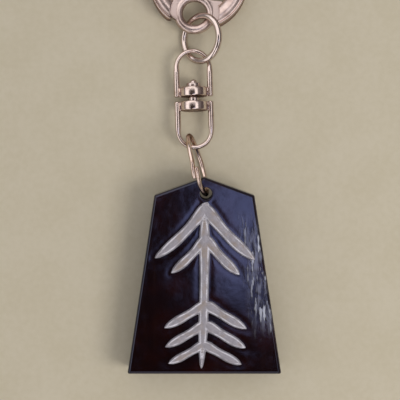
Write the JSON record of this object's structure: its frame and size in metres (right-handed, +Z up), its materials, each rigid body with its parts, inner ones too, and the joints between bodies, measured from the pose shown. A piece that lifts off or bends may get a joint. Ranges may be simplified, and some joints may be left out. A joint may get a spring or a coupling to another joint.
{
  "type": "shogi piece key holder",
  "caption": "Large lacquered wooden shogi piece with a raised arrow mark, hung by jump rings and a swivel from an oval gate key ring, lying on its back.",
  "frame": {"origin": "on the table, below the middle of the whole object's bounding box as it lies on its back", "axes": "+Y from the foot of the piece to the key ring, +X to the right seen from above, +Z up from the table"},
  "size_m": [0.0374, 0.1204, 0.0159],
  "materials": {
    "lacquered_wood": "dark brown-black lacquer, high gloss, slightly rippled",
    "raised_lacquer": "thick pale silver-beige lacquer strokes, satin gloss",
    "warm_plated_wire": "polished, warm plating",
    "nickel_plate": "polished, faintly rose nickel plating",
    "nickel_wire": "polished nickel-plated wire",
    "rivet_steel": "polished",
    "spring_steel": "bare spring wire"
  },
  "bodies": {
    "piece": {"piece_body": "lacquered_wood", "raised_arrow": "raised_lacquer"},
    "lower_ring": {"lower_jump_ring": "warm_plated_wire"},
    "swivel_lower": {"swivel_lower_eye": "nickel_plate", "swivel_rivet": "rivet_steel"},
    "swivel_upper": {"swivel_upper_eye": "nickel_plate"},
    "upper_ring": {"upper_jump_ring": "nickel_wire"},
    "key_ring": {"key_ring_body": "nickel_plate", "gate_pin": "rivet_steel", "gate_spring": "spring_steel"},
    "gate": {"key_ring_gate": "nickel_plate"}
  },
  "joints": [
    {"name": "ring_swing", "type": "hinge", "parent": "piece", "child": "lower_ring", "pos_m": [0.0004, -0.01623, 0.00737], "axis": [0, -0.0669, 0.9978], "range_deg": [-76, 44]},
    {"name": "chain_lift", "type": "hinge", "parent": "lower_ring", "child": "swivel_lower", "pos_m": [-0.00164, -0.0094, 0.00793], "axis": [0.9519, 0.273, 0.1392], "range_deg": [0, 160]},
    {"name": "swivel_spin", "type": "hinge", "parent": "swivel_lower", "child": "swivel_upper", "pos_m": [-0.00219, -0.00492, 0.00382], "axis": [-0.0314, 0.9991, -0.0282], "continuous": true},
    {"name": "upper_ring_turn", "type": "hinge", "parent": "swivel_upper", "child": "upper_ring", "pos_m": [-0.00074, 0.0219, 0.00436], "axis": [-0.6428, 0, 0.766], "range_deg": [-68, 30]},
    {"name": "key_ring_swing", "type": "hinge", "parent": "upper_ring", "child": "key_ring", "pos_m": [-0.00183, 0.0273, 0.00345], "axis": [0.0036, 0.0296, 0.9996], "range_deg": [-30, 30]},
    {"name": "gate_open", "type": "hinge", "parent": "key_ring", "child": "gate", "pos_m": [0.00851, 0.03487, 0.00321], "axis": [0.0036, 0.0296, 0.9996], "range_deg": [0, 30], "stiffness_Nm_per_rad": 0.004, "springref_deg": -17.19}
  ]
}
